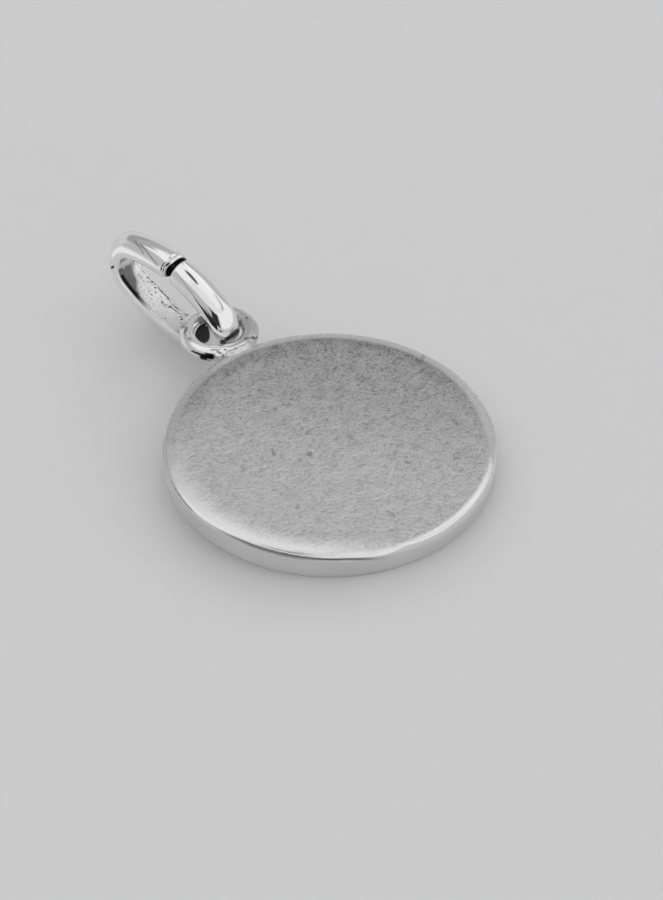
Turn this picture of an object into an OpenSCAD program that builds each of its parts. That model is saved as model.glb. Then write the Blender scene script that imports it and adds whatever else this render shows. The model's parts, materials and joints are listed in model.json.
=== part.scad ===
// Round religious medal with a soldered eyelet and an oval jump ring, lying back side up.
// Millimetres. +Z is up, the table is z = 0, and the eyelet points along +Y.
// The medal leans on the jump ring, so its eyelet side is a little higher than the other.

/* [Disc] */
// Diameter of the disc
disc_d = 18; // [16:0.5:22]
// Thickness of the disc
disc_t = 1.5; // [1.4:0.05:1.6]
// Radius of the rounded edges of the disc
edge_r = 0.25; // [0.1:0.05:0.4]

/* [Front] */
// Width of the raised rim on the front, which lies face down
rim_w = 0.9; // [0.6:0.1:1.5]
// Depth of the sunk field behind the rim
field_depth = 0.25; // [0.1:0.05:0.4]
// Height of the cross as a share of the disc's diameter
cross_share = 0.62; // [0.4:0.02:0.7]
// Width of the bars of the cross
cross_w = 1.5; // [0.8:0.1:2]
// How far the top of the cross stays under the rim
cross_sink = 0.05; // [0:0.05:0.05]

/* [Eyelet] */
// Thickness of the eyelet's round wire
eyelet_wire = 0.9; // [0.7:0.05:0.95]
// Diameter of the eyelet's hole
eyelet_hole = 2.55; // [2.5:0.05:2.8]
// Distance from the edge of the disc to the middle of the wire soldered to it
eyelet_seat = 0.38; // [0.34:0.02:0.42]
// Height of the middle of the eyelet over the front of the disc
eyelet_level = 0.82; // [0.78:0.02:0.86]
// How far the eyelet droops away from the disc, in degrees
eyelet_droop = 6; // [4:0.5:8]

/* [Jump ring] */
// Thickness of the jump ring's wire across the flat inner wall
ring_wire = 1.7; // [1.5:0.05:1.7]
// Depth ground off the inner side of the wire
ring_flat = 0.46; // [0.3:0.01:0.6]
// Radius of the wire's middle line at the two ends
ring_end_r = 1.32; // [1.26:0.02:1.4]
// How much further out the middle line runs at the sides than that radius
ring_bulge = 0.54; // [0.5:0.02:0.6]
// Width of the open split in the upper side
split_w = 0.3; // [0.15:0.01:0.6]
// Distance of the split from the middle of the ring, towards the far end
split_pos = -0.06; // [-1:0.02:1]
// How far the split is cut askew, in degrees
split_skew = 6; // [0:1:15]

/* [Jump ring pose] */
// How much lower the middle of the eyelet lies than the middle of the ring
ring_drop = 0.34; // [0.3:0.01:0.38]
// Free space between the near end of the ring and the eyelet, along the medal
ring_play = 0.22; // [0.2:0.01:0.26]
// Distance of the ring's middle to the side of the medal's centre line
ring_side = 0.42; // [0.4:0.01:0.46]
// Turn of the ring about the upright axis, in degrees
ring_yaw = 10; // [8:0.5:12]
// Rise of the ring towards its far end, in degrees
ring_rise = 7.5; // [6.5:0.25:8.5]
// Lean of the ring from upright, in degrees
ring_lean = 3.3; // [2:0.1:5]

/* [Hidden] */
$fn = 96;
eps = 0.01;
disc_r = disc_d / 2;
field_r = disc_r - rim_w;

// The eyelet, in the medal's own frame, whose origin is the middle of the front of the disc.
eyelet_r = (eyelet_hole + eyelet_wire) / 2;
eyelet_y = disc_r + eyelet_seat + eyelet_r * cos(eyelet_droop);
solder_z = eyelet_level + eyelet_r * sin(eyelet_droop);

// The fillet of solder: its width, its height and how far it reaches into the disc.
solder_w = 1.5;
solder_h = 0.62;
solder_in = 0.3;

// The cross has the usual proportions: the bar across is two thirds as long as the upright,
// and lies a third of the way down it.
bar_length_share = 2 / 3;
bar_drop_share = 1 / 3;
cross_l = cross_share * disc_d;
cross_bar = bar_length_share * cross_l;
cross_bar_y = (1 / 2 - bar_drop_share) * cross_l;

// The jump ring is four tangent arcs: two small ones at the ends and two wide ones at the sides.
// The line from a side arc's centre to an end arc's is the long side of a 5, 12, 13 triangle.
wire_r = ring_wire / 2;
flat_r = wire_r - ring_flat;
end_x = 5 * ring_bulge;
side_y = 12 * ring_bulge;
side_r = 13 * ring_bulge + ring_end_r;
half_l = end_x + ring_end_r;
half_w = side_r - side_y;
split_cut = 1.5 * ring_wire;

// Turns of a point about the three axes, in degrees.
function turn_x(v, d) = [v.x, v.y * cos(d) - v.z * sin(d), v.y * sin(d) + v.z * cos(d)];
function turn_y(v, d) = [v.x * cos(d) + v.z * sin(d), v.y, v.z * cos(d) - v.x * sin(d)];
function turn_z(v, d) = [v.x * cos(d) - v.y * sin(d), v.x * sin(d) + v.y * cos(d), v.z];
function ring_turn(v) = turn_z(turn_x(turn_y(v, ring_lean), ring_rise), ring_yaw);
long_dir = ring_turn([0, 1, 0]);
short_dir = ring_turn([0, 0, -1]);

// The lower side of the ring stands on the table, and the ring carries the eyelet at its middle,
// so the disc slopes up towards the eyelet and meets the table with the edge opposite it.
ring_up = norm([long_dir.z, short_dir.z]);
ring_z = side_r * ring_up + side_y * short_dir.z + wire_r;
disc_tilt = asin((ring_z - ring_drop - eyelet_level) / (disc_r - edge_r + eyelet_y));
disc_z = (disc_r - edge_r) * sin(disc_tilt) + edge_r - edge_r * cos(disc_tilt);

// The near end of the ring stays just clear of the eyelet's soldered side.
ring_near = disc_r + eyelet_seat + eyelet_wire / 2 + ring_play;
ring_y = ring_near * cos(disc_tilt) - eyelet_level * sin(disc_tilt) + half_l + wire_r;

// The origin is under the middle of the whole pendant, so its reach along Y is worked out here.
reach_far = ring_y + end_x * long_dir.y + ring_end_r * norm([long_dir.y, short_dir.y]) + wire_r;
reach_near = -(disc_r - edge_r) * cos(disc_tilt) - (disc_t - edge_r) * sin(disc_tilt) - edge_r;
mid_y = (reach_far + reach_near) / 2;

// Half outline of the disc: a bar with two rounded corners.
module disc_outline() {
    square([disc_r - edge_r, disc_t]);
    translate([0, edge_r]) square([disc_r, disc_t - 2 * edge_r]);
    translate([disc_r - edge_r, edge_r]) circle(edge_r);
    translate([disc_r - edge_r, disc_t - edge_r]) circle(edge_r);
}

module right_half(size) {
    intersection() {
        children();
        translate([0, -size]) square(2 * size);
    }
}

module disc() {
    difference() {
        rotate_extrude() right_half(disc_d) disc_outline();
        translate([0, 0, -eps]) cylinder(r = field_r, h = field_depth + eps);
    }
}

// A plain Latin cross in low relief in the sunk field, its head towards the eyelet.
module cross() {
    h = field_depth - cross_sink + eps;
    translate([-cross_w / 2, -cross_l / 2, cross_sink]) cube([cross_w, cross_l, h]);
    translate([-cross_bar / 2, cross_bar_y - cross_w / 2, cross_sink]) cube([cross_bar, cross_w, h]);
}

// A ring of round wire, soldered to the edge of the disc and drooping a little.
module eyelet() {
    translate([0, eyelet_y, eyelet_level]) rotate([-eyelet_droop, 0, 0]) rotate_extrude()
        translate([eyelet_r, 0]) circle(eyelet_wire / 2, $fn = 48);
}

// The solder that fills the groove between the wire and the edge of the disc.
module solder() {
    depth = solder_in + eyelet_seat;
    translate([0, disc_r - solder_in, solder_z]) rotate([-90, 0, 0]) linear_extrude(depth)
        union() {
            square([solder_w - solder_h, solder_h], center = true);
            translate([(solder_h - solder_w) / 2, 0]) circle(solder_h / 2, $fn = 32);
            translate([(solder_w - solder_h) / 2, 0]) circle(solder_h / 2, $fn = 32);
        }
}

module medal() {
    color("silver") translate([0, -mid_y, disc_z]) rotate([disc_tilt, 0, 0]) union() {
        disc();
        cross();
        eyelet();
        solder();
    }
}

// A whole turn of the ring's wire, round outside and flat inside, bent about the Z axis.
module wire_turn(bend_r) {
    rotate_extrude() translate([bend_r, 0]) intersection() {
        circle(wire_r, $fn = 64);
        translate([-flat_r, -wire_r]) square([flat_r + wire_r, 2 * wire_r]);
    }
}

// The wedge that holds one side arc, with its tip at that arc's centre.
module side_wedge() {
    reach = 3;
    translate([0, 0, -ring_wire]) linear_extrude(2 * ring_wire) polygon([
        [0, -side_y],
        [reach * end_x, (reach - 1) * side_y],
        [-reach * end_x, (reach - 1) * side_y]
    ]);
}

module side_arc() {
    intersection() {
        translate([0, -side_y]) wire_turn(side_r);
        side_wedge();
    }
}

module end_arc() {
    difference() {
        translate([end_x, 0]) wire_turn(ring_end_r);
        side_wedge();
        mirror([0, 1, 0]) side_wedge();
    }
}

// The whole oval, its long way along X, its short way along Y and the split at -Y.
module oval_link() {
    difference() {
        union() {
            side_arc();
            end_arc();
            mirror([0, 1, 0]) side_arc();
            mirror([1, 0, 0]) end_arc();
        }
        translate([split_pos, -half_w, 0]) rotate([0, split_skew, 0])
            cube([split_w, split_cut, split_cut], center = true);
    }
}

module jump_ring() {
    color("gainsboro") translate([-ring_side, ring_y - mid_y, ring_z])
        rotate([0, 0, ring_yaw]) rotate([ring_rise, 0, 0]) rotate([0, ring_lean, 0])
        rotate([-90, 0, 90]) oval_link();
}

medal();
jump_ring();
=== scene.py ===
"""Looks of a round religious medal that leans, back side up, on its open jump ring.

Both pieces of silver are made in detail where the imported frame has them, under the soft light of
a photographer's tent. Blender works in metres. Each shape is worked out in millimetres, in the
piece's own axes, and a matrix from own_axes() brings it into the frame.
"""

import json
import math

import bpy
import numpy as np
from mathutils import Matrix, Vector, noise


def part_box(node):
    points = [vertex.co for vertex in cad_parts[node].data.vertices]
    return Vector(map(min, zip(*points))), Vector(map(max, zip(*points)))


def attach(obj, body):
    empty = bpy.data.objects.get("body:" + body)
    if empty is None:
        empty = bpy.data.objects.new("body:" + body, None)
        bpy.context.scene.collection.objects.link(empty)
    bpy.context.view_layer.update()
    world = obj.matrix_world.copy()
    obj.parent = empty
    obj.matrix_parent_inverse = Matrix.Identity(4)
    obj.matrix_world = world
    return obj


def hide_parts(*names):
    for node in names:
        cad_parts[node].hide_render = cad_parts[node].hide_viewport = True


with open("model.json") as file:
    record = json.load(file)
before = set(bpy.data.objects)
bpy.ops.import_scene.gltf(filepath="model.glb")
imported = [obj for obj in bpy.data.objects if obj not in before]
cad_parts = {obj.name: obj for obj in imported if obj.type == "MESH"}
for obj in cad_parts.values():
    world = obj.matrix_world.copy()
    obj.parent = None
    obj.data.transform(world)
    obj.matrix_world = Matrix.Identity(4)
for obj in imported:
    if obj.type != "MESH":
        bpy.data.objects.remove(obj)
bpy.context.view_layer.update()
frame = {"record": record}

MM = 0.001
RECORD = frame["record"]
MOUNTS = {mount["name"]: mount for mount in RECORD["mounts"]}

# The disc and what is on its front, in millimetres. Its own origin is the middle of the front,
# its Z axis points out of the back and its Y axis towards the eyelet. The back is a little domed.
DISC_R = 9.0
DISC_T = 1.5
DOME = 0.13
EDGE_R = 0.1
RIM_W = 0.9
FIELD_DEPTH = 0.25
FIELD_FILLET = 0.16
CROSS_L = 11.16
CROSS_BAR = CROSS_L * 2 / 3
CROSS_BAR_Y = CROSS_L / 6
CROSS_W = 1.5
CROSS_SINK = 0.05
CROSS_ROUND = 0.09

# The back's edge is rolled over by wear: how wide and how deep the roll is at most places, on the
# stretch that is rubbed smooth and on the crisp stretch. A stretch is given by the angle of its
# middle about the disc and by its reach to either side, in degrees.
BACK_ROLL = (1.6, 0.26)
RUBBED_STRETCH = (196, 64)
RUBBED_ROLL = (1.6, 0.19)
CRISP_STRETCH = (292, 50)
CRISP_ROLL = (0.24, 0.58)

# Under the lip that the roll leaves, a stretch of the wall has a crease, darkened with painted
# shade: the angle of its middle and its reach, how wide and how deep it is.
CREASE_STRETCH = (226, 34)
CREASE_W = 0.15
CREASE_DEPTH = 0.04

# Between the head of the back and its edge the back is darkened with painted shade, and a stretch
# of the wall is too:
# the angle of the middle and the reach of each.
SHADED_BACK_EDGE_STRETCH = (70, 90)
SHADED_WALL_STRETCH = (214, 60)

# The disc isn't quite round: the angle and the reach of each stretch, and how much further out
# the top of its wall lies there.
UNEVEN_WALL = ((297, 56, 0.1), (232, 50, -0.25))

# Where forms of the disc come in, in millimetres: between which heights over the front the dome
# and the dents of the back do, between which heights and which distances from the middle the
# uneven wall does, and between which distances the crease does.
BACK_BEGINS = (0.9, 1.2)
UNEVEN_HEIGHTS = (-0.2, 1.3)
UNEVEN_BEGINS = (6, 9)
CREASE_BEGINS = (8, 8.6)

# The eyelet is a ring of round wire that droops from the edge of the disc, and the solder fills
# the groove between them.
WIRE_R = 0.45
EYELET_R = 1.725
EYELET_SEAT = 0.38
EYELET_DROOP = math.radians(6)
EYELET_Y = DISC_R + EYELET_SEAT + EYELET_R * math.cos(EYELET_DROOP)
EYELET_Z = 0.82
SOLDER_Z = EYELET_Z + EYELET_R * math.sin(EYELET_DROOP)
SOLDER_W = 1.5
SOLDER_H = 0.62
SOLDER_IN = 0.3
SOLDER_FILLET = 0.3

# The jump ring's middle line is four tangent arcs, whose centres make triangles of sides 5, 12
# and 13. Its own X axis is the long way, towards the far end, and Y points to the split.
RING_WIRE_R = 0.85
RING_FLAT = 0.39
RING_END_R = 1.32
RING_BULGE = 0.54
RING_END_X = 5 * RING_BULGE
RING_SIDE_Y = 12 * RING_BULGE
RING_SIDE_R = 13 * RING_BULGE + RING_END_R
RING_CORNER_SINE = 5 / 13
RING_RIDGE_R = 0.07
SPLIT_W = 0.3
SPLIT_POS = -0.06

# The sawn ends of the wire: how much thinner it is at some distances from each face. The far end
# is bevelled, with a groove behind the bevel, and the near end is rounded.
FAR_END_STOPS = (0, 0.04, 0.12, 0.16, 0.2, 0.25, 0.32)
FAR_END_INSET = (0.12, 0.07, 0.01, 0, 0.03, 0.03, 0)
NEAR_END_STOPS = (0, 0.04, 0.1)
NEAR_END_INSET = (0.09, 0.03, 0)

# The far end is sprung outwards: how far, and over how long a stretch of the wire. Its sawn face
# is askew: how much further from the split it lies at the wire's front than at its back, between
# which two places across the wire it does so, how much nearer the back lies, and between which
# distances from the split all this comes in.
FAR_END_SPRING = 0.04
FAR_END_SPRING_REACH = 1.6
FAR_FACE_PUSH = 0.17
FAR_FACE_SIDES = (-0.3, -0.8)
FAR_FACE_BACK = 0.07
FAR_FACE_REACH = (0.6, 0.1)

# The sawn faces are closed by loops of these shares of their outline.
CAP_SHARES = (0.8, 0.5, 0.2)

# How fine the meshes are: the grid that the medal's is made in, the free space round it, how often
# its points are spread evenly, and the step along the ring's wire.
MEDAL_STEP = 0.085
MEDAL_MARGIN = 0.2
MEDAL_ROUNDS = 4
RING_STEP = 0.04

# The picture's size in pixels, and how many of them a millimetre takes. Then the camera's
# direction from the medal, its roll, how many metres away it stands, and the pixel that shows the
# middle of the back.
PICTURE_W = 663
PICTURE_H = 900
PIXELS_PER_MM = 18.5
CAMERA_AZIMUTH = math.radians(-31.07)
CAMERA_ELEVATION = math.radians(39.49)
CAMERA_ROLL = math.radians(-2.62)
CAMERA_DISTANCE = 1.5
FACE_PIXEL = (329.6, 443.3)

# The light tent: between which heights its walls get brighter, in degrees, and how bright they
# are below and above. Then its lamps and the dark things, each painted over those before it: what
# it is, its azimuth from +Y towards +X, its elevation, half its width and half its height and its
# soft border, all in degrees, and its brightness.
WALL_RISE = (30, 72)
WALL_GLOW = (0.5, 0.88)
TENT_PATCHES = (
    ("left wall", -108, 54, 34, 14, 10, 0.78),
    ("front and right walls", 152, 27, 62, 20, 9, 0.88),
    ("lamp at the left", -42, 58, 38, 14, 8, 0.9),
    ("back wall", 42, 40, 16, 10, 7, 0.44),
    ("foot of the back wall", 0, 36, 24, 10, 5, 0.42),
    ("lamp at the right", 76, 56, 27, 10, 6, 0.96),
    ("low light behind the object", 8, 9, 46, 9, 7, 0.63),
    ("fold in the right wall", 120, 54, 28, 3, 3, 0.45),
    ("seam at the foot of the back wall", -12, 31, 32, 2, 5, 0.35),
    ("dark screen at the left", -118, 10, 13, 24, 6, 0.03),
    ("low dark thing beside it", -98, 0, 10, 7, 3, 0.05),
    ("slit over the object", -30, 82, 62, 4, 3, 0.12),
)

# The cards that the polished metal shows, in metres. Both lie on the floor between a near and a
# far edge, each given by the azimuth of its middle from the ring, its distance and its length. The
# white card glows, standing in for light falling on it, and the black one is folded up at its far
# edge. Both lie a hair over the floor.
BLACK_CARD = ((-114, 0.008, 0.0065), (-106, 0.017, 0.013))
BLACK_CARD_HEIGHT = 0.0035
WHITE_CARD = ((-50, 0.009, 0.008), (-50, 0.044, 0.008))
WHITE_CARD_GLOW = 0.8
CARD_LIFT = 0.0001

# The lamp behind the tent, which casts the shadow: azimuth, elevation, distance and size in
# metres, and watts. The metal doesn't show it.
KEY_AZIMUTH = math.radians(32)
KEY_ELEVATION = math.radians(26)
KEY_DISTANCE = 1.5
KEY_SIZE = (1.3, 0.7)
KEY_WATTS = 8.0

# How far light spreads inside the floor, in millimetres, and how much comes up through it.
FLOOR_SPREAD = 5.0
FLOOR_GLOW = 0.14
WHITE = (1.0, 1.0, 1.0, 1.0)

# Dents in the back, where the picture shows them: how far across and down the picture, half the
# length and half the width in pixels, the turn in degrees from the picture's right upwards, and
# how strong they are, from 0 to 1.
DENT_DEPTH = 0.03
DENTS = (
    (308, 432, 3.2, 2.2, 60, 0.9),
    (303, 428, 2.0, 1.4, 0, 0.5),
    (310, 454, 3.2, 2.2, 0, 1.0),
    (273, 452, 4.0, 1.6, -62, 1.0),
    (243, 470, 2.0, 1.4, 0, 0.4),
    (297, 506, 2.6, 2.1, 90, 0.8),
    (300, 516, 2.2, 1.8, 90, 0.6),
    (408, 462, 2.4, 1.8, -30, 0.9),
    (391, 513, 5.5, 1.7, -35, 0.8),
    (352, 439, 7.0, 1.5, -40, 0.5),
    (286, 487, 4.0, 1.3, -40, 0.4),
    (370, 399, 1.8, 1.5, 0, 0.5),
    (314, 541, 1.6, 1.4, 0, 0.6),
    (198, 411, 1.8, 1.4, 0, 0.5),
    (173, 440, 2.2, 1.4, 0, 0.6),
    (167, 440, 1.4, 1.2, 0, 0.5),
    (240, 434, 5.0, 1.3, 10, 0.6),
    (245, 397, 5.0, 1.5, 20, 0.5),
    (262, 392, 4.0, 1.4, -30, 0.5),
    (285, 404, 5.0, 1.5, -35, 0.5),
    (318, 398, 4.0, 1.4, 10, 0.4),
    (330, 408, 3.0, 1.4, -20, 0.4),
    (422, 359, 4.0, 1.4, 75, 1.0),
)

# Black marks on the medal and on the ring, given in the same way. Nearly all are painted shade and
# painted reflection: the dark gap under the eyelet, its joint with the disc, the dark patch on the
# ring's near arm and the thin dark lines on its far arm. One on the ring is a pit.
MEDAL_PAINTED_SHADE = (
    (207, 357, 7.5, 2.6, 4, 1.0),
    (207, 363, 4.0, 2.4, 20, 0.9),
    (252, 338, 8.0, 1.0, 4, 0.9),
    (236, 349, 1.8, 1.5, 0, 0.9),
    (219, 352, 3.0, 1.2, -30, 0.8),
    (240, 322, 2.4, 1.2, 60, 0.6),
    (247, 318, 1.6, 1.2, 0, 0.6),
    (186, 330, 4.0, 1.3, 70, 0.6),
    (190, 338, 2.0, 1.2, 0, 0.6),
    (232, 335, 9.0, 2.2, 40, 0.9),
)
RING_PAINTED_SHADE = (
    (232, 335, 9.0, 2.2, 40, 0.9),
    (223, 342, 3.2, 2.4, 0, 0.9),
    (112.4, 267.2, 2.0, 1.3, 25, 1.0),
    (139.5, 247.5, 8.0, 0.6, -55, 0.5),
    (149, 254.5, 14.0, 0.6, -52, 0.6),
    (187, 287, 19.0, 0.5, -54, 0.35),
    (232, 331, 3.0, 0.8, 60, 0.5),
)

# How ragged the painted shade on the medal is, in pixels, and the size of the lumps that make it
# so.
PAINTED_SHADE_RAGGED = 1.6
PAINTED_SHADE_LUMP = 0.17

# Painted shade lies as a dark film on the inner wall at the ring's far end, up to a slanting border
# in the picture:
# a pixel that it passes through, how many pixels it goes across for each one down, how soft it is,
# how ragged, and how strong the shade is.
FAR_SHADE_PIXEL = (132, 262)
FAR_SHADE_LEAN = 0.23
FAR_SHADE_BORDER = FAR_SHADE_PIXEL[0] - FAR_SHADE_LEAN * FAR_SHADE_PIXEL[1]
FAR_SHADE_SOFT = 2
FAR_SHADE_RAGGED = 2
FAR_SHADE_STRENGTH = 0.75

# Where that painted shade, a black one on the inner wall at the near end and one along a ridge
# begin and end about the link, in
# degrees: from where to where each comes in and goes out. Then how ragged the first one's ends are
# in degrees, the size of the lumps that make them so, and how far to the side the ridge's shade is.
FAR_SHADE_TURNS = ((-100, -90), (-12, -26))
NEAR_SHADE_TURNS = ((-134, -128), (-96, -104))
RIDGE_SHADE_TURNS = ((-84, -74), (-30, -44))
FAR_SHADE_RAGGED_TURN = 10
RING_SHADE_LUMP = 0.25
RIDGE_SHADE_SIDES = (-0.5, -0.62)

# The wire is darkened with painted shade up to this distance from its sawn faces, and its rough
# inner wall begins between these two places across the wire.
SPLIT_SHADE_REACH = 0.05
INNER_WALL_BEGINS = (-0.3, -0.36)

# The black painted shade shows where the metal faces the camera: from where to where it comes in,
# by the slope of the medal's skin and, for the ring, by millimetres from the wire's middle line.
MEDAL_FACING = (0.0, 0.2)
RING_FACING = (0.0, 0.1)

# The medal's finish and its painted shade. First between which distances from the middle, or
# heights over the front,
# things come in: the eyelet's wire, by its distance from the disc, what is rubbed, the rim and how
# much further out it is where it is crisp, the edge and the wall with its top that painted shade
# darkens, the painted shade of the crease and the darkening of the dents. The eyelet is duller on
# one side, from left to right.
WIRE_BEGINS = (0.05, 0.3)
RUBBED_BEGINS = (7.2, 8.4)
RIM_BEGINS = (8.25, 8.55)
CRISP_RIM_FURTHER = (0.35, 0.25)
SHADED_BACK_EDGE_BEGINS = (7.0, 8.2)
SHADED_WALL_BEGINS = (8.4, 8.6)
SHADED_WALL_TOP = (1.12, 1.0)
CREASE_SHADE_BEGINS = (8.5, 8.8)
DENT_DARKENING_BEGINS = (1.0, 1.2)
DULL_WIRE_BEGINS = (-0.2, 0.7)

# Then how strong each is: the rim, and what the crisp stretch adds to it, the polish of the rim and
# of what is rubbed, how much of its polish the wire loses where it is dull, and how far the grain
# is evened out where the edge is rubbed and on the rim.
RIM_SHARE = 0.8
CRISP_RIM_ADDS = 0.2
RIM_POLISH = 0.8
RUBBED_POLISH = 0.75
DULL_WIRE_LOSS = 0.5
RUBBED_EVENNESS = 0.8
RIM_EVENNESS = 0.9

# The way across the back to the head of the picture. Then the grain, the finer grit and the haze
# at the picture's foot, and how much more of each there is at its head, where the added haze is
# painted shade, and between which shares of that way that shade comes in. Then the painted shade
# that the edge and the wall add to it, the strengths on the dull side of the eyelet, the darkening
# of the dents and how soft its border is, and the painted shade of the crease.
HEAD_WAY = (0.7, 0.7)
GRAIN = (0.95, 0.35)
GRIT = (0.3, 2.8)
HAZE_AND_HEAD_SHADE = (0.01, 0.26)
HEAD_SHADE_BEGINS = (0.35, 0.85)
BACK_EDGE_SHADE = 0.2
SHADED_WALL_STRENGTH = 0.2
DULL_WIRE_GRAIN = 1.2
DULL_WIRE_HAZE = 0.3
DENT_DARKENING = 0.4
DENT_DARKENING_SOFT = 1.5
CREASE_SHADE = 0.9

# The skin isn't quite even: how far it goes in and out and the size of its waves, everywhere and
# on the eyelet's wire besides.
WAVE_DEPTH = 0.006
WAVE_SIZE = 0.9
WIRE_WAVE_DEPTH = 0.014
WIRE_WAVE_SIZE = 0.6

# Random speckles, each kind given by about how large they are in millimetres and by how much
# detail they have. On the cast skin they make the grit, the pebbles, the lumps under them, the
# pits and the clouds of tarnish, and on the wire the pocks and the crowds that they stand in. The
# scratches are speckles too, drawn out because the way along the wire is shortened by that share.
SPECKLE_ROUGHNESS = 0.6
SKIN_SPECKLES = ((0.11, 1.0), (0.24, 2.0), (0.6, 1.0), (0.24, 1.0), (0.8, 3.0))
WIRE_SPECKLES = ((0.14, 3.0), (0.7, 2.0))
SCRATCH_SPECKLE = (0.11, 3.0)
SCRATCH_SHORTENING = 0.2

# The relief of the cast skin: how high the lumps are beside the pebbles, and how deep it all is in
# millimetres. Then films of tarnish, in a Map Range node's words: over which span of its speckles
# each goes from which strength to which.
SKIN_LUMP_SHARE = 0.8
SKIN_DEPTH = 0.043
HOLLOW_FILM = {"From Min": 0.32, "From Max": 0.5, "To Min": 0.26, "To Max": 0.0}
PIT_FILM = {"From Min": 0.27, "From Max": 0.4, "To Min": 0.32, "To Max": 0.0}
GRIT_FILM = {"From Min": 0.3, "From Max": 0.5, "To Min": 0.18, "To Max": 0.0}
CLOUD_FILM = {"From Min": 0.4, "From Max": 0.62, "To Min": 0.0, "To Max": 0.13}

# How rough the satin skin is and the bright one, and what the film of tarnish and the painted shade
# add to that.
SKIN_ROUGHNESS = {"To Min": 0.42, "To Max": 0.12}
SKIN_FILM_ROUGHNESS = 0.15

# The relief of the ring's rough inner wall: how high the pocks are beside the scratches, how deep
# it all is in millimetres, and how strong on the polished wire and on the wall. Then the specks of
# tarnish: how much more a crowd holds, how much less one side of the wall does, and where they are.
POCK_SHARE = 0.6
WALL_DEPTH = 0.035
WALL_RELIEF = {"To Min": 0.0, "To Max": 0.9}
CROWD_SHARE = 0.35
SIDE_SHARE = -0.12
WALL_SPECKS = {"From Min": 0.76, "From Max": 0.87, "To Min": 1.0, "To Max": 0.0}

# How rough the polished wire is and the wall, and what the specks of tarnish and the painted shade
# add to that.
WIRE_ROUGHNESS = {"To Min": 0.05, "To Max": 0.27}
WIRE_FILM_ROUGHNESS = 0.25

# The sockets of a Mix node for its two colours, and the one that gives the result.
MIX_A = 6
MIX_B = 7
MIX_RESULT = 2

# How far apart the lumps of one seed and the next lie.
LUMP_SHIFT = (17.3, 5.1, 9.7)


def linear(code):
    """An sRGB hex colour as Blender's linear colour."""
    shares = [int(code[i : i + 2], 16) / 255 for i in (1, 3, 5)]
    return [s / 12.92 if s <= 0.04045 else ((s + 0.055) / 1.055) ** 2.4 for s in shares] + [1.0]


def own_axes(origin, x, z):
    """The matrix of a piece's own axes, from millimetres there to metres in the frame."""
    z = Vector(z).normalized()
    y = z.cross(Vector(x)).normalized()
    turn = Matrix((y.cross(z), y, z)).transposed().to_4x4()
    return Matrix.Translation(origin) @ turn @ Matrix.Scale(MM, 4)


def medal_axes():
    """The medal's own axes, from the mount on its back."""
    face = MOUNTS["back_face"]
    normal = Vector(face["axis"]).normalized()
    return own_axes(Vector(face["pos_m"]) - normal * DISC_T * MM, (1, 0, 0), normal)


def ring_axes():
    """The jump ring's own axes, from its box and the mount at its far end."""
    low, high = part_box("jump_ring")
    middle = (low + high) / 2
    loop = MOUNTS["chain_loop"]
    return own_axes(middle, Vector(loop["pos_m"]) - middle, loop["axis"])


def smooth_step(low, high, value):
    """0 up to low, 1 from high on, and a smooth rise between them."""
    t = np.clip((value - low) / (high - low), 0, 1)
    return t * t * (3 - 2 * t)


def joined(a, b, fillet):
    """Distance from two shapes together, with a fillet of that width where they meet."""
    near = np.clip(1 - np.abs(a - b) / fillet, 0, 1)
    return np.minimum(a, b) - near * near * fillet / 4


def cut(a, b, fillet):
    """Distance from shape a with shape b taken out of it, the edges between them rounded."""
    return -joined(-a, b, fillet)


def rolled_corner(out, up, wide, deep):
    """Distance from the solid with out < 0 and up < 0, its corner rounded by a quarter ellipse."""
    u = np.maximum(out + wide, 0) / wide
    v = np.maximum(up + deep, 0) / deep
    q = np.hypot(u, v)
    least, core = 1e-4, 1e-3
    steep = np.hypot(u / wide, v / deep) / np.maximum(q, least)
    return np.where(q > core, (q - 1) / np.maximum(steep, least), -np.minimum(wide, deep))


def stretch_share(angle, middle, reach):
    """How far an angle about the disc, in degrees, lies in a stretch of its edge, from 0 to 1."""
    off = np.abs((angle - middle + 180) % 360 - 180)
    return smooth_step(reach, 0.5 * reach, off)


def picture_place(points, axes):
    """How far across and down the picture, in pixels, points in a piece's own axes show."""
    right, up, back = camera_axes()
    placed = points @ np.array(axes.to_3x3()).T + np.array(axes.translation)
    offset = placed - np.array(MOUNTS["back_face"]["pos_m"])
    scale = PIXELS_PER_MM / MM / (1 - offset @ np.array(back) / CAMERA_DISTANCE)
    across = FACE_PIXEL[0] + offset @ np.array(right) * scale
    return across, FACE_PIXEL[1] - offset @ np.array(up) * scale


def spots(across, down, table, soft=0.7):
    """How far the places in the picture lie in the table's spots, from 0 to their strength, with a
    border that is soft for so many pixels on either side."""
    share = np.zeros_like(across)
    for spot_across, spot_down, half_length, half_width, turn, strength in table:
        c, s = math.cos(math.radians(turn)), -math.sin(math.radians(turn))
        out_x, out_y = across - spot_across, down - spot_down
        lengthwise = np.abs(out_x * c + out_y * s) - (half_length - half_width)
        off = np.hypot(np.maximum(lengthwise, 0), out_y * c - out_x * s)
        inside = smooth_step(half_width + soft, half_width - soft, off)
        share = np.maximum(share, strength * inside)
    return share


def dents(x, y):
    """How far the places on the back lie in its dents, from 0 to 1."""
    points = np.stack([x, y, np.full_like(x, DISC_T)], 1)
    return spots(*picture_place(points, medal_axes()), DENTS)


def edge_roll(angle):
    """How wide and how deep the back's edge is rolled over at these angles about the disc."""
    wide, deep = BACK_ROLL
    for stretch, roll in ((RUBBED_STRETCH, RUBBED_ROLL), (CRISP_STRETCH, CRISP_ROLL)):
        share = stretch_share(angle, *stretch)
        wide = wide + share * (roll[0] - wide)
        deep = deep + share * (roll[1] - deep)
    return wide, deep


def crease(angle, z):
    """How far the places on the disc's wall lie in the crease under its lip, from 0 to 1."""
    lip = DISC_T - DOME / 2 - edge_roll(angle)[1]
    off = np.abs(z - lip + CREASE_W / 2)
    return stretch_share(angle, *CREASE_STRETCH) * smooth_step(0.8 * CREASE_W, 0.2 * CREASE_W, off)


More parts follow.
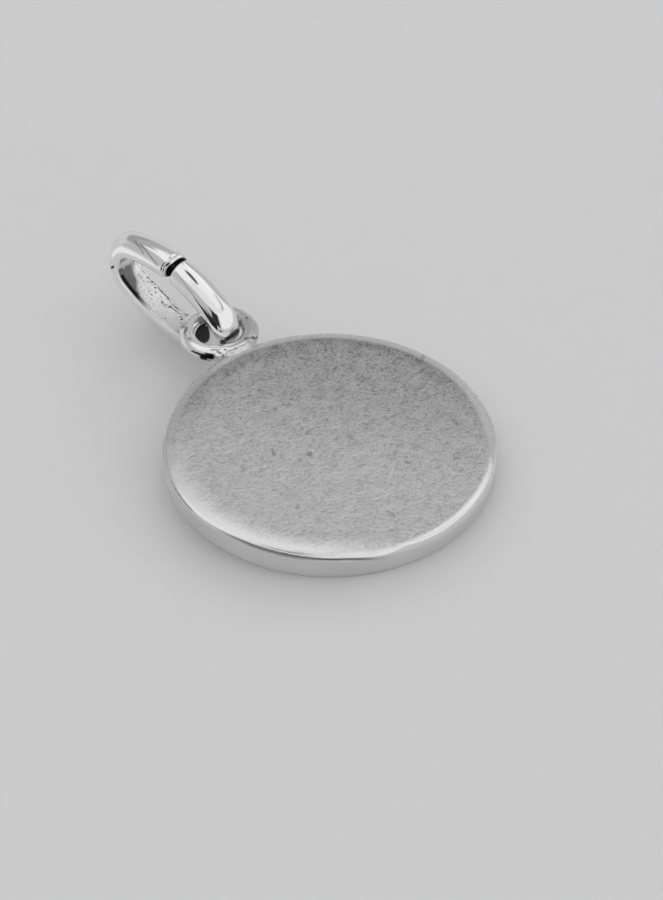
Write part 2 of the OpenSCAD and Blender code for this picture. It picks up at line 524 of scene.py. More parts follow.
def disc_distance(x, y, z):
    """Distance from the disc, with its domed and dented back and its worn and uneven edge."""
    r = np.hypot(x, y)
    upper = smooth_step(*BACK_BEGINS, z)
    z = z + (DENT_DEPTH * dents(x, y) + DOME * ((r / DISC_R) ** 2 - 0.5)) * upper
    angle = np.degrees(np.arctan2(y, x))
    for middle, reach, further in UNEVEN_WALL:
        outer = smooth_step(*UNEVEN_BEGINS, r) * smooth_step(*UNEVEN_HEIGHTS, z)
        r = r - further * stretch_share(angle, middle, reach) * outer
    r = r + CREASE_DEPTH * crease(angle, z) * smooth_step(*CREASE_BEGINS, r)
    back = rolled_corner(r - DISC_R, z - DISC_T, *edge_roll(angle))
    front = rolled_corner(r - DISC_R, -z, EDGE_R, EDGE_R)
    return np.maximum(back, front)


def box_distance(x, y, half_x, half_y):
    """Distance from a rectangle in its plane."""
    out_x, out_y = np.abs(x) - half_x, np.abs(y) - half_y
    outside = np.hypot(np.maximum(out_x, 0), np.maximum(out_y, 0))
    return outside + np.minimum(np.maximum(out_x, out_y), 0)


def cross_distance(x, y, z):
    """Distance from the plain cross that stands in the sunk field of the front."""
    half_w = CROSS_W / 2 - CROSS_ROUND
    upright = box_distance(x, y, half_w, CROSS_L / 2 - CROSS_ROUND)
    bar = box_distance(x, y - CROSS_BAR_Y, CROSS_BAR / 2 - CROSS_ROUND, half_w)
    plan = np.minimum(upright, bar)
    drop = CROSS_SINK + CROSS_ROUND - z
    corner = np.hypot(np.maximum(plan, 0), np.maximum(drop, 0))
    return np.maximum(corner + np.minimum(np.maximum(plan, drop), 0) - CROSS_ROUND, z - DISC_T / 2)


def eyelet_distance(x, y, z):
    """Distance from the drooping ring of round wire."""
    out, up = y - EYELET_Y, z - EYELET_Z
    c, s = math.cos(EYELET_DROOP), math.sin(EYELET_DROOP)
    along, level = out * c - up * s, out * s + up * c
    return np.hypot(np.hypot(x, along) - EYELET_R, level) - WIRE_R


def solder_distance(x, y, z):
    """Distance from the bar of solder between the disc's edge and the eyelet."""
    half = SOLDER_H / 2
    out_x = np.maximum(np.abs(x) - (SOLDER_W / 2 - half), 0)
    middle = DISC_R + (EYELET_SEAT - SOLDER_IN) / 2
    out_y = np.maximum(np.abs(y - middle) - (SOLDER_IN + EYELET_SEAT) / 2 + half, 0)
    return np.sqrt(out_x**2 + out_y**2 + (z - SOLDER_Z) ** 2) - half


def medal_distance(points):
    """Distance from the whole medal, negative inside it."""
    x, y, z = points.T
    field = np.maximum(np.hypot(x, y) - (DISC_R - RIM_W), z - FIELD_DEPTH)
    body = cut(disc_distance(x, y, z), field, FIELD_FILLET)
    body = joined(body, cross_distance(x, y, z), FIELD_FILLET / 2)
    body = joined(body, solder_distance(x, y, z), SOLDER_FILLET)
    return joined(body, eyelet_distance(x, y, z), SOLDER_FILLET)


def gradient(distance, points, step=0.002):
    """How the distance grows along each axis."""
    parts = []
    for axis in range(3):
        shift = np.zeros(3)
        shift[axis] = step
        parts.append(distance(points + shift) - distance(points - shift))
    return np.stack(parts, 1) / (2 * step)


def onto_surface(points, distance, rounds, least_slope=0.05):
    """The points, moved to where the distance is zero."""
    for _ in range(rounds):
        slope = gradient(distance, points)
        move = distance(points) / np.maximum((slope**2).sum(1), least_slope)
        points = points - slope * move[:, None]
    return points


def surface_net(distance, low, high, step):
    """A closed mesh of quads where the distance is zero: a point in each cell of a grid that the
    surface crosses, and a quad across each edge of the grid that it cuts."""
    counts = [int(math.ceil((h - l) / step)) + 1 for l, h in zip(low, high)]
    lines = [l + step * np.arange(n) for l, n in zip(low, counts)]
    grid = np.stack(np.meshgrid(*lines, indexing="ij"), -1)
    inside = distance(grid.reshape(-1, 3)).reshape(counts) < 0
    cells = [n - 1 for n in counts]
    filled = np.zeros(cells, int)
    for corner in np.ndindex(2, 2, 2):
        filled += inside[tuple(slice(c, c + n) for c, n in zip(corner, cells))]
    crossed = (filled > 0) & (filled < 8)
    number = np.full(cells, -1)
    number[crossed] = np.arange(crossed.sum())
    points = grid[:-1, :-1, :-1][crossed] + step / 2
    quads = []
    for axis in range(3):
        a, b = (axis + 1) % 3, (axis + 2) % 3
        near, far = [slice(1, -1)] * 3, [slice(1, -1)] * 3
        near[axis], far[axis] = slice(0, -1), slice(1, None)
        changed = np.argwhere(inside[tuple(near)] != inside[tuple(far)])
        start = changed + 1
        start[:, axis] -= 1
        around = []
        for step_a, step_b in ((0, 0), (-1, 0), (-1, -1), (0, -1)):
            cell = start.copy()
            cell[:, a] += step_a
            cell[:, b] += step_b
            around.append(number[tuple(cell.T)])
        ring = np.stack(around, 1)
        flipped = ~inside[tuple(start.T)]
        ring[flipped] = ring[flipped][:, ::-1]
        quads.append(ring)
    return points, np.concatenate(quads)


def evened(points, quads, distance, rounds):
    """The points, spread evenly over the surface."""
    ends = np.concatenate([quads[:, [i, (i + 1) % 4]] for i in range(4)])
    ends = np.concatenate([ends, ends[:, ::-1]])
    count = np.bincount(ends[:, 0], minlength=len(points))
    for _ in range(rounds):
        total = [np.bincount(ends[:, 0], points[ends[:, 1], i], len(points)) for i in range(3)]
        points = (points + np.stack(total, 1) / count[:, None]) / 2
        points = onto_surface(points, distance, 1)
    return onto_surface(points, distance, 2)


def lumps(points, size, seed):
    """Smooth random lumps of about that size over the points, from -1 to 1."""
    shift = Vector([seed * apart for apart in LUMP_SHIFT])
    return np.array([noise.noise(Vector(p) / size + shift) for p in points])


def add(tree, kind, inputs=None, **settings):
    """Adds a shader node of that kind. Its inputs are values, or the sockets that feed them."""
    made = tree.nodes.new("ShaderNode" + kind)
    for name, value in settings.items():
        setattr(made, name, value)
    for name, value in (inputs or {}).items():
        if isinstance(value, bpy.types.NodeSocket):
            tree.links.new(value, made.inputs[name])
        else:
            made.inputs[name].default_value = value
    return made


def new_material(name):
    """A new material of nodes that has none yet, and its tree."""
    material = bpy.data.materials.new(name)
    material.use_nodes = True
    material.node_tree.nodes.clear()
    return material, material.node_tree


def mesh_piece(name, points, faces, axes, material, marks):
    """A smooth piece that rides on the part. marks are its named values at each point."""
    mesh = bpy.data.meshes.new(name)
    placed = points @ np.array(axes.to_3x3()).T + np.array(axes.translation)
    mesh.from_pydata(placed.tolist(), [], [list(map(int, face)) for face in faces])
    mesh.polygons.foreach_set("use_smooth", [True] * len(mesh.polygons))
    for label, values in marks.items():
        layer = mesh.attributes.new(label, "FLOAT", "POINT")
        layer.data.foreach_set("value", np.asarray(values, np.float32))
    mesh.materials.append(material)
    mesh.update()
    piece = bpy.data.objects.new(name, mesh)
    bpy.context.scene.collection.objects.link(piece)
    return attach(piece, "root")


def cast_silver():
    """Sterling silver, cast in a mould and tumbled: a satin skin with a fine pebbly grain, which
    holds a grey film of tarnish in its hollows and is rubbed bright where hands wear it. Grey
    painted shade darkens it towards the picture's head, at the edge and on the front of the wall.
    Black painted shade and painted reflection lie in the crease, under and beside the eyelet and in
    the dark patch, and the dents are darkened."""
    material, tree = new_material("cast silver")
    place = add(tree, "TexCoord").outputs["Object"]
    polish, painted_shade_and_dark_marks, grainy, gritty, haze_and_painted_shade = (
        add(tree, "Attribute", attribute_name=name).outputs["Fac"]
        for name in ("polish", "painted_shade_and_dark_marks", "grain", "grit", "haze_and_painted_shade")
    )
    grit, pebbles, lumpy, pitted, cloudy = (
        add(
            tree,
            "TexNoise",
            {
                "Vector": place,
                "Scale": 1 / (size * MM),
                "Detail": detail,
                "Roughness": SPECKLE_ROUGHNESS,
            },
        ).outputs["Fac"]
        for size, detail in SKIN_SPECKLES
    )

    pebbly = {0: lumpy, 1: SKIN_LUMP_SHARE, 2: pebbles}
    relief = add(tree, "Math", pebbly, operation="MULTIPLY_ADD").outputs[0]
    relief = add(tree, "Math", {0: relief, 1: grainy}, operation="MULTIPLY").outputs[0]
    finer = {0: grit, 1: gritty, 2: relief}
    relief = add(tree, "Math", finer, operation="MULTIPLY_ADD").outputs[0]
    bump = add(
        tree,
        "Bump",
        {"Height": relief, "Strength": 1.0, "Distance": SKIN_DEPTH * MM},
    ).outputs["Normal"]

    hollow, pits, specks, clouds = (
        add(tree, "MapRange", {"Value": speckle, **span_of_film}).outputs["Result"]
        for speckle, span_of_film in (
            (pebbles, HOLLOW_FILM),
            (pitted, PIT_FILM),
            (grit, GRIT_FILM),
            (cloudy, CLOUD_FILM),
        )
    )
    film_and_shade = add(tree, "Math", {0: hollow, 1: pits}, operation="MAXIMUM").outputs[0]
    film_and_shade = add(tree, "Math", {0: film_and_shade, 1: grainy}, operation="MULTIPLY").outputs[0]
    for more, share in ((specks, gritty), (clouds, grainy)):
        added = {0: more, 1: share, 2: film_and_shade}
        film_and_shade = add(tree, "Math", added, operation="MULTIPLY_ADD").outputs[0]
    film_and_shade = add(tree, "Math", {0: film_and_shade, 1: haze_and_painted_shade}, operation="ADD").outputs[0]

    colour = linear("#D9D9D9")
    # The film carries grey painted shade, and the black layer is painted shade and painted
    # reflection, with the darkened dents.
    for share, over in (
        (polish, linear("#F2F2F2")),
        (film_and_shade, linear("#8A8A8A")),
        (painted_shade_and_dark_marks, linear("#1C1C1C")),
    ):
        layers = {"Factor": share, MIX_A: colour, MIX_B: over}
        colour = add(tree, "Mix", layers, data_type="RGBA").outputs[MIX_RESULT]

    rough = add(tree, "MapRange", {"Value": polish, **SKIN_ROUGHNESS}).outputs["Result"]
    covered = add(tree, "Math", {0: film_and_shade, 1: painted_shade_and_dark_marks}, operation="MAXIMUM").outputs[0]
    added = {0: covered, 1: SKIN_FILM_ROUGHNESS, 2: rough}
    rough = add(tree, "Math", added, operation="MULTIPLY_ADD").outputs[0]
    skin = add(
        tree,
        "BsdfPrincipled",
        {"Base Color": colour, "Metallic": 1.0, "Roughness": rough, "Normal": bump},
    ).outputs["BSDF"]
    add(tree, "OutputMaterial", {"Surface": skin})
    return material


def polished_silver():
    """Sterling silver wire, drawn, bent and polished to a mirror. Its flat inner wall is left as
    it was rolled, rough and scratched lengthwise. Black painted shade lies in the sawn split and on
    parts of the inner wall, and black painted shade and painted reflection on parts of the outside."""
    material, tree = new_material("polished silver wire")
    wall, painted_shade_and_dark_marks, along, across = (
        add(tree, "Attribute", attribute_name=name).outputs["Fac"]
        for name in ("wall", "painted_shade_and_dark_marks", "along", "across")
    )
    place = add(tree, "TexCoord").outputs["Object"]
    shortened, sideways = (
        add(tree, "Math", {0: way, 1: length}, operation="MULTIPLY").outputs[0]
        for way, length in ((along, SCRATCH_SHORTENING * MM), (across, MM))
    )
    lengthwise = add(tree, "CombineXYZ", {"X": shortened, "Y": sideways}).outputs["Vector"]
    ways = (lengthwise, place, place)
    scratches, pocks, crowd = (
        add(
            tree,
            "TexNoise",
            {
                "Vector": way,
                "Scale": 1 / (size * MM),
                "Detail": detail,
                "Roughness": SPECKLE_ROUGHNESS,
            },
        ).outputs["Fac"]
        for way, (size, detail) in zip(ways, (SCRATCH_SPECKLE, *WIRE_SPECKLES))
    )

    higher = {0: pocks, 1: POCK_SHARE, 2: scratches}
    relief = add(tree, "Math", higher, operation="MULTIPLY_ADD").outputs[0]
    strength = add(tree, "MapRange", {"Value": wall, **WALL_RELIEF}).outputs["Result"]
    bump = add(
        tree,
        "Bump",
        {"Height": relief, "Strength": strength, "Distance": WALL_DEPTH * MM},
    ).outputs["Normal"]

    depth = relief
    for more, share in ((crowd, CROWD_SHARE), (across, SIDE_SHARE)):
        added = {0: more, 1: share, 2: depth}
        depth = add(tree, "Math", added, operation="MULTIPLY_ADD").outputs[0]
    specks = add(tree, "MapRange", {"Value": depth, **WALL_SPECKS}).outputs["Result"]
    film_and_shade = add(tree, "Math", {0: specks, 1: wall}, operation="MULTIPLY").outputs[0]
    film_and_shade = add(tree, "Math", {0: film_and_shade, 1: painted_shade_and_dark_marks}, operation="MAXIMUM").outputs[0]
    # The dark layer is the specks of tarnish on the inner wall, and black painted shade and painted
    # reflection.
    layers = {"Factor": film_and_shade, MIX_A: linear("#F4F4F4"), MIX_B: linear("#262626")}
    colour = add(tree, "Mix", layers, data_type="RGBA").outputs[MIX_RESULT]

    rough = add(tree, "MapRange", {"Value": wall, **WIRE_ROUGHNESS}).outputs["Result"]
    added = {0: film_and_shade, 1: WIRE_FILM_ROUGHNESS, 2: rough}
    rough = add(tree, "Math", added, operation="MULTIPLY_ADD").outputs[0]
    skin = add(
        tree,
        "BsdfPrincipled",
        {"Base Color": colour, "Metallic": 1.0, "Roughness": rough, "Normal": bump},
    ).outputs["BSDF"]
    add(tree, "OutputMaterial", {"Surface": skin})
    return material


def pale_floor():
    """Opal white acrylic sheet, frosted until it shows no gloss: light spreads a little way inside
    it and a little comes up through it, which softens and lightens the foot of every shadow."""
    material, tree = new_material("opal white acrylic sheet")
    skin = add(
        tree,
        "BsdfPrincipled",
        {
            "Base Color": linear("#C1C1C1"),
            "Roughness": 1.0,
            "Specular IOR Level": 0.0,
            "Subsurface Weight": 1.0,
            "Subsurface Radius": (1.0, 1.0, 1.0),
            "Subsurface Scale": FLOOR_SPREAD * MM,
            "Emission Color": WHITE,
            "Emission Strength": FLOOR_GLOW,
        },
        subsurface_method="BURLEY",
    ).outputs["BSDF"]
    add(tree, "OutputMaterial", {"Surface": skin})
    return material


def make_floor():
    """A square of the sheet, large enough to fill the picture."""
    half = 3.0
    mesh = bpy.data.meshes.new("floor")
    corners = [(-half, -half, 0), (half, -half, 0), (half, half, 0), (-half, half, 0)]
    mesh.from_pydata(corners, [], [(0, 1, 2, 3)])
    mesh.materials.append(pale_floor())
    floor = bpy.data.objects.new("floor", mesh)
    bpy.context.scene.collection.objects.link(floor)


def card_edge(azimuth, distance, length):
    """The two ends of a card's edge that lies on the floor beside the ring."""
    turn = math.radians(azimuth)
    away = Vector((math.sin(turn), math.cos(turn), 0))
    side = Vector((away.y, -away.x, 0)) * length / 2
    low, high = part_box("jump_ring")
    foot = (low + high) / 2 + away * distance
    foot.z = CARD_LIFT
    return foot - side, foot + side


def make_card(name, edges, colour, glow):
    """A card that neither the camera nor the floor sees, but the polished metal shows."""
    mesh = bpy.data.meshes.new(name)
    corners = [end for edge in edges for end in edge]
    faces = [(i, i + 1, i + 3, i + 2) for i in range(0, len(corners) - 2, 2)]
    mesh.from_pydata(corners, [], faces)
    material, tree = new_material(name)
    skin = add(
        tree,
        "BsdfPrincipled",
        {
            "Base Color": linear(colour),
            "Roughness": 0.9,
            "Emission Color": WHITE,
            "Emission Strength": glow,
        },
    ).outputs["BSDF"]
    add(tree, "OutputMaterial", {"Surface": skin})
    mesh.materials.append(material)
    card = bpy.data.objects.new(name, mesh)
    card.visible_camera = False
    card.visible_diffuse = False
    card.visible_shadow = False
    bpy.context.scene.collection.objects.link(card)


def make_cards():
    """The black card, folded up at its far edge, and the white one that lies flat."""
    near, fold = (card_edge(*edge) for edge in BLACK_CARD)
    top = [end + Vector((0, 0, BLACK_CARD_HEIGHT)) for end in fold]
    make_card("black_card", [near, fold, top], "#1A1A1A", 0.0)
    edges = [card_edge(*edge) for edge in WHITE_CARD]
    make_card("white_card", edges, "#202020", WHITE_CARD_GLOW)


def camera_axes():
    """The camera's right, up and back directions in the frame."""
    e, a = CAMERA_ELEVATION, CAMERA_AZIMUTH
    back = Vector((math.sin(a) * math.cos(e), -math.cos(a) * math.cos(e), math.sin(e)))
    right = Vector((math.cos(a), math.sin(a), 0))
    up = back.cross(right)
    c, s = math.cos(CAMERA_ROLL), math.sin(CAMERA_ROLL)
    return right * c + up * s, up * c - right * s, back


def make_camera():
    """A long lens at the picture's angle, with the middle of the disc's back at its own pixel."""
    right, up, back = camera_axes()
    pixel = MM / PIXELS_PER_MM
    aim = Vector(MOUNTS["back_face"]["pos_m"])
    aim += right * (PICTURE_W / 2 - FACE_PIXEL[0]) * pixel
    aim -= up * (PICTURE_H / 2 - FACE_PIXEL[1]) * pixel
    data = bpy.data.cameras.new("camera")
    data.sensor_width = 36.0
    data.lens = data.sensor_width * CAMERA_DISTANCE / (PICTURE_H * pixel)
    data.clip_start = 0.01
    data.clip_end = 20.0
    camera = bpy.data.objects.new("camera", data)
    camera.matrix_world = Matrix.Translation(aim + back * CAMERA_DISTANCE) @ Matrix(
        (right, up, back)
    ).transposed().to_4x4()
    bpy.context.scene.collection.objects.link(camera)
    bpy.context.scene.camera = camera


def soft_band(tree, value, middle, half, soft):
    """1 while an angle lies within half a band of its middle, and 0 beyond the soft border. These
    are in degrees, the angle is in radians, and the way round the tent closes on itself."""
    value = add(
        tree, "Math", {0: value, 1: math.radians(middle)}, operation="SUBTRACT"
    ).outputs[0]
    value = add(tree, "Math", {0: value, 1: math.pi, 2: -math.pi}, operation="WRAP").outputs[0]
    off = add(tree, "Math", {0: value}, operation="ABSOLUTE").outputs[0]
    edges = {
        "From Min": math.radians(half) + math.radians(soft),
        "From Max": math.radians(half),
        "To Min": 0.0,
        "To Max": 1.0,
    }
    return add(
        tree, "MapRange", {"Value": off, **edges}, interpolation_type="SMOOTHSTEP"
    ).outputs["Result"]


def make_tent():
    """The light of a photographer's tent: its walls get brighter upwards, lamps shine through
    them, and dark things stand or hang between them, which the polished metal shows."""
    world = bpy.data.worlds.new("light tent")
    bpy.context.scene.world = world
    world.use_nodes = True
    tree = world.node_tree
    tree.nodes.clear()
    place = add(tree, "TexCoord").outputs["Generated"]
    parts = add(tree, "SeparateXYZ", {"Vector": place}).outputs
    height = add(tree, "Math", {0: parts["Z"]}, operation="ARCSINE").outputs[0]
    round_way = add(
        tree, "Math", {0: parts["X"], 1: parts["Y"]}, operation="ARCTAN2"
    ).outputs[0]
    rise = {
        "From Min": math.radians(WALL_RISE[0]),
        "From Max": math.radians(WALL_RISE[1]),
        "To Min": WALL_GLOW[0],
        "To Max": WALL_GLOW[1],
    }
    glow = add(
        tree, "MapRange", {"Value": height, **rise}, interpolation_type="SMOOTHSTEP"
    ).outputs["Result"]
    for _, azimuth, elevation, half_width, half_height, soft, brightness in TENT_PATCHES:
        across = soft_band(tree, round_way, azimuth, half_width, soft)
        upright = soft_band(tree, height, elevation, half_height, soft)
        share = add(tree, "Math", {0: across, 1: upright}, operation="MULTIPLY").outputs[0]
        change = add(tree, "Math", {0: brightness, 1: glow}, operation="SUBTRACT").outputs[0]
        painted = {0: share, 1: change, 2: glow}
        glow = add(tree, "Math", painted, operation="MULTIPLY_ADD").outputs[0]
    light = add(tree, "Background", {"Color": WHITE, "Strength": glow}).outputs[0]
    add(tree, "OutputWorld", {"Surface": light})
    bpy.context.scene.view_settings.view_transform = "Standard"


def make_lamp():
    """The lamp behind the tent, whose light comes through its wall."""
    data = bpy.data.lights.new("lamp behind the tent", "AREA")
    data.shape = "RECTANGLE"
    data.size, data.size_y = KEY_SIZE
    data.energy = KEY_WATTS
    flat_x = math.sin(KEY_AZIMUTH) * math.cos(KEY_ELEVATION)
    flat_y = math.cos(KEY_AZIMUTH) * math.cos(KEY_ELEVATION)
    towards = Vector((flat_x, flat_y, math.sin(KEY_ELEVATION)))
    lamp = bpy.data.objects.new("lamp behind the tent", data)
    lamp.location = towards * KEY_DISTANCE
    lamp.rotation_euler = towards.to_track_quat("Z", "Y").to_euler()
    lamp.visible_glossy = False
    bpy.context.scene.collection.objects.link(lamp)


def towards_camera(axes):
    """The direction of the camera in a piece's own axes."""
    return np.array(axes.to_3x3().transposed() @ camera_axes()[2] / MM)


def medal_marks(points, slope, wire):
    """The medal's finish and its painted shade at its points, whose slopes point outwards. wire is
    1 on the eyelet.
    """
    x, y, z = points.T
    r = np.hypot(x, y)
    angle = np.degrees(np.arctan2(y, x))
    rubbed = stretch_share(angle, *RUBBED_STRETCH) * smooth_step(*RUBBED_BEGINS, r)
    upper = 0.5 + 0.5 * (HEAD_WAY[0] * x + HEAD_WAY[1] * y) / DISC_R
    crisp = stretch_share(angle, *CRISP_STRETCH)
    begins, whole = (at + further * crisp for at, further in zip(RIM_BEGINS, CRISP_RIM_FURTHER))
    rim = (RIM_SHARE + CRISP_RIM_ADDS * crisp) * smooth_step(begins, whole, r)
    shaded_back_edge = stretch_share(angle, *SHADED_BACK_EDGE_STRETCH) * smooth_step(*SHADED_BACK_EDGE_BEGINS, r)
    even = (1 - RUBBED_EVENNESS * rubbed) * (1 - RIM_EVENNESS * rim)
    # Grey painted shade towards the head of the picture and at the edge, and on the front of the
    # wall.
    haze_with_head_shade = HAZE_AND_HEAD_SHADE[0] + HAZE_AND_HEAD_SHADE[1] * smooth_step(*HEAD_SHADE_BEGINS, upper) + BACK_EDGE_SHADE * shaded_back_edge
    dull = smooth_step(*DULL_WIRE_BEGINS, x) * wire
    shaded_wall = stretch_share(angle, *SHADED_WALL_STRETCH) * smooth_step(*SHADED_WALL_BEGINS, r)
    shaded_wall = shaded_wall * smooth_step(*SHADED_WALL_TOP, z)
    seen = smooth_step(*MEDAL_FACING, slope @ towards_camera(medal_axes()))
    across, down = picture_place(points, medal_axes())
    across = across + PAINTED_SHADE_RAGGED * lumps(points, PAINTED_SHADE_LUMP, 4)
    down = down + PAINTED_SHADE_RAGGED * lumps(points, PAINTED_SHADE_LUMP, 5)
    # Black painted shade and painted reflection at the table's marks, where the metal faces the
    # camera.
    shade_spots = spots(across, down, MEDAL_PAINTED_SHADE) * seen * wire
    # The dents are darkened.
    darkened_dents = spots(across, down, DENTS, DENT_DARKENING_SOFT) * smooth_step(*DENT_DARKENING_BEGINS, z)
    # Black painted shade in the crease under the lip.
    crease_shade = crease(angle, z) * smooth_step(*CREASE_SHADE_BEGINS, r)
    on_wire = wire > 0.5
    wire_polish = wire * (1 - DULL_WIRE_LOSS * dull)
    wire_grain = DULL_WIRE_GRAIN * dull
    haze_and_painted_shade = haze_with_head_shade * even + SHADED_WALL_STRENGTH * shaded_wall
    return {
        "polish": np.maximum.reduce([wire_polish, RIM_POLISH * rim, RUBBED_POLISH * rubbed]),
        "grain": np.where(on_wire, wire_grain, GRAIN[0] + GRAIN[1] * upper) * even,
        "grit": np.where(on_wire, wire_grain, GRIT[0] + GRIT[1] * upper**2) * even,
        "haze_and_painted_shade": np.where(on_wire, DULL_WIRE_HAZE * dull, haze_and_painted_shade),
        "painted_shade_and_dark_marks": np.maximum.reduce([shade_spots, DENT_DARKENING * darkened_dents, CREASE_SHADE * crease_shade]),
    }


def make_medal():
    """The medal as one piece: a fine net over its surface, made uneven along its slopes."""
    aside = DISC_R + MEDAL_MARGIN
    low = (-aside, -aside, -MEDAL_MARGIN)
    high = (aside, EYELET_Y + EYELET_R + WIRE_R + MEDAL_MARGIN, DISC_T + MEDAL_MARGIN)
    points, quads = surface_net(medal_distance, low, high, MEDAL_STEP)
    points = evened(points, quads, medal_distance, MEDAL_ROUNDS)
    slope = gradient(medal_distance, points)
    slope /= np.linalg.norm(slope, axis=1)[:, None]
    wire = smooth_step(*WIRE_BEGINS, disc_distance(*points.T))
    marks = medal_marks(points, slope, wire)
    waves = WAVE_DEPTH * lumps(points, WAVE_SIZE, 1)
    waves = waves + WIRE_WAVE_DEPTH * lumps(points, WIRE_WAVE_SIZE, 2) * wire
    points = points + slope * waves[:, None]
    piece = mesh_piece("medal_body", points, quads, medal_axes(), cast_silver(), marks)
    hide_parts("medal")


def ring_turns(step):
    """Angles of the outward direction round the link, from one side of the split to the other, a
    step of wire apart."""
    corner = math.asin(RING_CORNER_SINE)
    quarter = math.pi / 2
    start = quarter - math.asin((SPLIT_POS + SPLIT_W / 2) / RING_SIDE_R)
    end = quarter - 2 * math.pi - math.asin((SPLIT_POS - SPLIT_W / 2) / RING_SIDE_R)
    stops = [
        (start, RING_SIDE_R),
        (quarter - corner, RING_END_R),
        (corner - quarter, RING_SIDE_R),
        (-quarter - corner, RING_END_R),
        (corner - 3 * quarter, RING_SIDE_R),
        (end, 0),
    ]
    turns = []
    for (angle, radius), (until, _) in zip(stops, stops[1:]):
        count = math.ceil((angle - until) * radius / step)
        turns += [angle + (until - angle) * i / count for i in range(count)]
    return np.array(turns + [end])


def ring_middle(turns):
    """Points of the link's middle line where its outward direction has these angles."""
    c, s = np.cos(turns), np.sin(turns)
    side = np.abs(c) < RING_CORNER_SINE
    radius = np.where(side, RING_SIDE_R, RING_END_R)
    x = np.where(side, 0, np.sign(c) * RING_END_X) + radius * c
    y = np.where(side, -np.sign(s) * RING_SIDE_Y, 0) + radius * s
    return np.stack([x, y], 1)


def wire_outline():
    """The wire's outline: (outward, sideways) points of a circle with a flat inner wall, the two
    ridges a little rounded."""
    ridge = RING_RIDGE_R
    ridge_x = ridge - RING_FLAT
    ridge_z = math.sqrt((RING_WIRE_R - ridge) ** 2 - ridge_x**2)
    lean = math.atan2(ridge_z, ridge_x)
    wall_count, ridge_count, back_count = 16, 5, 60
    outline = []
    for i in range(wall_count):
        outline.append((-RING_FLAT, ridge_z * (1 - 2 * i / wall_count)))
    for i in range(ridge_count):
        angle = math.pi + (math.pi - lean) * i / ridge_count
        outline.append((ridge_x + ridge * math.cos(angle), -ridge_z + ridge * math.sin(angle)))
    for i in range(back_count):
        angle = -lean + 2 * lean * i / back_count
        outline.append((RING_WIRE_R * math.cos(angle), RING_WIRE_R * math.sin(angle)))
    for i in range(ridge_count):
        angle = lean + (math.pi - lean) * i / ridge_count
        outline.append((ridge_x + ridge * math.cos(angle), ridge_z + ridge * math.sin(angle)))
    return np.array(outline)


def far_face_shift(side):
    """How much further from the split the far end's sawn face lies, towards the wire's front."""
    return FAR_FACE_PUSH * smooth_step(*FAR_FACE_SIDES, side) - FAR_FACE_BACK


def ring_loops(turns, middle, outline, from_far, from_near):
    """The wire's outline at each turn, its sawn ends shaped and closed by smaller loops."""
    away = np.stack([np.cos(turns), np.sin(turns)], 1)
    inset = np.interp(from_far, FAR_END_STOPS, FAR_END_INSET)
    inset += np.interp(from_near, NEAR_END_STOPS, NEAR_END_INSET)
    heart = np.array([(RING_WIRE_R - RING_FLAT) / 2, 0])
    shrink = 1 - inset / (RING_WIRE_R - heart[0])
    section = heart + (outline - heart)[None] * shrink[:, None, None]
    section[:, :, 0] += FAR_END_SPRING * smooth_step(FAR_END_SPRING_REACH, 0, from_far)[:, None]
    onward = np.stack([away[:, 1], -away[:, 0]], 1)
    slid = far_face_shift(section[:, :, 1]) * smooth_step(*FAR_FACE_REACH, from_far)[:, None]
    flat = middle[:, None, :] + section[:, :, :1] * away[:, None, :]
    flat += slid[:, :, None] * onward[:, None, :]
    loops = np.concatenate([flat, section[:, :, 1:]], 2)
    caps = []
    for edge in (loops[0], loops[-1]):
        centre = edge.mean(0)
        caps.append(np.stack([centre + (edge - centre) * share for share in CAP_SHARES]))
    return np.concatenate([caps[0][::-1], loops, caps[1]])


def tube_faces(count, around):
    """Quads from each loop of points to the next, and a face over each end."""
    faces = []
    for i in range(0, (count - 1) * around, around):
        for j in range(around):
            k = (j + 1) % around
            faces.append((i + j, i + k, i + around + k, i + around + j))
    faces.append(list(range(around))[::-1])
    faces.append([(count - 1) * around + j for j in range(around)])
    return faces


def between(ends, value):
    """1 between two borders, each given by where it is still 0 and where it is 1."""
    return smooth_step(*ends[0], value) * smooth_step(*ends[1], value)


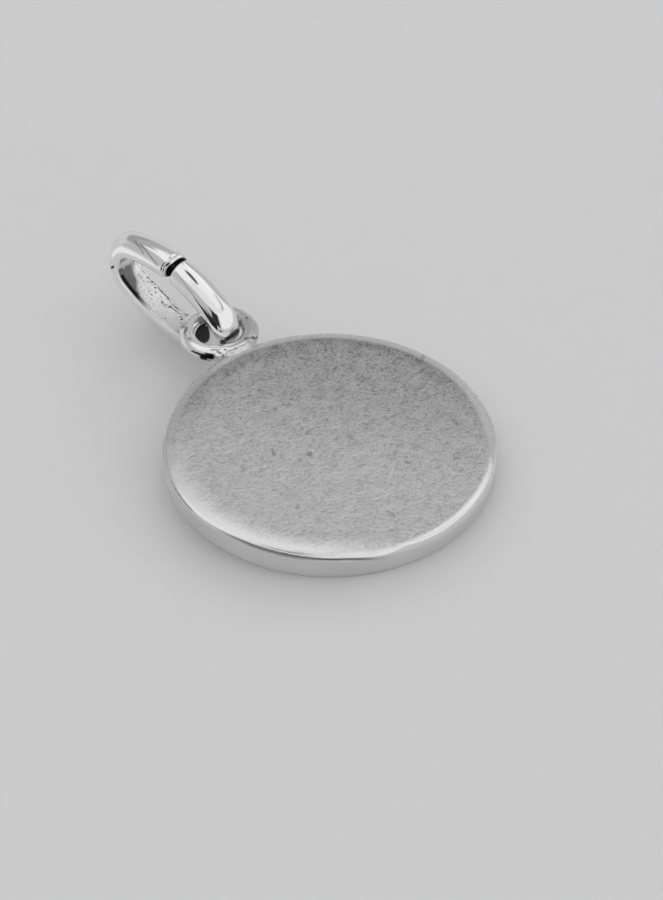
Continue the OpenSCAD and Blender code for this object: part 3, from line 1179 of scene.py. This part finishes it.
def ring_painted_shade(loops, middle, turns, across, wall, split_shade):
    """How far painted shade covers each point of the wire's loops, from 0 to 1."""
    heart_line = np.concatenate([middle, np.zeros((len(middle), 1))], 1)[:, None]
    outward = loops - heart_line
    in_view = smooth_step(*RING_FACING, outward @ towards_camera(ring_axes()))
    far_turn = (np.degrees(turns)[:, None] + 180) % 360 - 180
    shown = picture_place(loops.reshape(-1, 3), ring_axes())
    uneven = lumps(loops.reshape(-1, 3), RING_SHADE_LUMP, 6).reshape(wall.shape)
    border = (shown[0] - FAR_SHADE_LEAN * shown[1]).reshape(wall.shape) + FAR_SHADE_RAGGED * uneven
    # Painted shade on the inner wall: a dark film at the far end, and black ones at the near end
    # and along a ridge.
    far_shade = smooth_step(FAR_SHADE_BORDER + FAR_SHADE_SOFT, FAR_SHADE_BORDER - FAR_SHADE_SOFT, border)
    far_shade = far_shade * between(FAR_SHADE_TURNS, far_turn + FAR_SHADE_RAGGED_TURN * uneven)
    near_shade = between(NEAR_SHADE_TURNS, far_turn)
    ridge_shade = smooth_step(*RIDGE_SHADE_SIDES, across) * between(RIDGE_SHADE_TURNS, far_turn)
    shades = (FAR_SHADE_STRENGTH * far_shade, near_shade, ridge_shade)
    film_and_shade = np.maximum.reduce([part * wall for part in shades])
    film_and_shade = np.maximum(film_and_shade, split_shade[:, None])
    # Black painted shade and painted reflection at the table's marks, where the outside faces the
    # camera.
    shade_spots = spots(*shown, RING_PAINTED_SHADE).reshape(wall.shape) * (1 - wall) * in_view
    return np.maximum(film_and_shade, shade_spots)


def make_ring():
    """The jump ring as one piece: a tube of loops of its outline along its middle line."""
    turns = ring_turns(RING_STEP)
    middle = ring_middle(turns)
    outline = wire_outline()
    steps = np.linalg.norm(np.diff(middle, axis=0), axis=1)
    run = np.concatenate([[0], np.cumsum(steps)])
    from_far, from_near = run, run[-1] - run
    loops = ring_loops(turns, middle, outline, from_far, from_near)
    shape = loops.shape[:2]
    depth = len(CAP_SHARES)
    turns, along = (np.pad(values, depth, mode="edge") for values in (turns, run))
    middle = np.pad(middle, ((depth, depth), (0, 0)), mode="edge")
    # Black painted shade in the sawn split.
    split_shade = smooth_step(SPLIT_SHADE_REACH, 0, np.minimum(from_far, from_near))
    split_shade = np.pad(split_shade, depth, constant_values=1)
    across = np.broadcast_to(outline[:, 1], shape)
    wall = np.broadcast_to(smooth_step(*INNER_WALL_BEGINS, outline[:, 0]), shape)
    marks = {
        "wall": wall.ravel(),
        "painted_shade_and_dark_marks": ring_painted_shade(loops, middle, turns, across, wall, split_shade).ravel(),
        "along": np.broadcast_to(along[:, None], shape).ravel(),
        "across": across.ravel(),
    }
    points = loops.reshape(-1, 3)
    faces = tube_faces(*shape)
    piece = mesh_piece("ring_wire", points, faces, ring_axes(), polished_silver(), marks)
    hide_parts("jump_ring")


make_camera()
make_floor()
make_cards()
make_tent()
make_lamp()
make_medal()
make_ring()
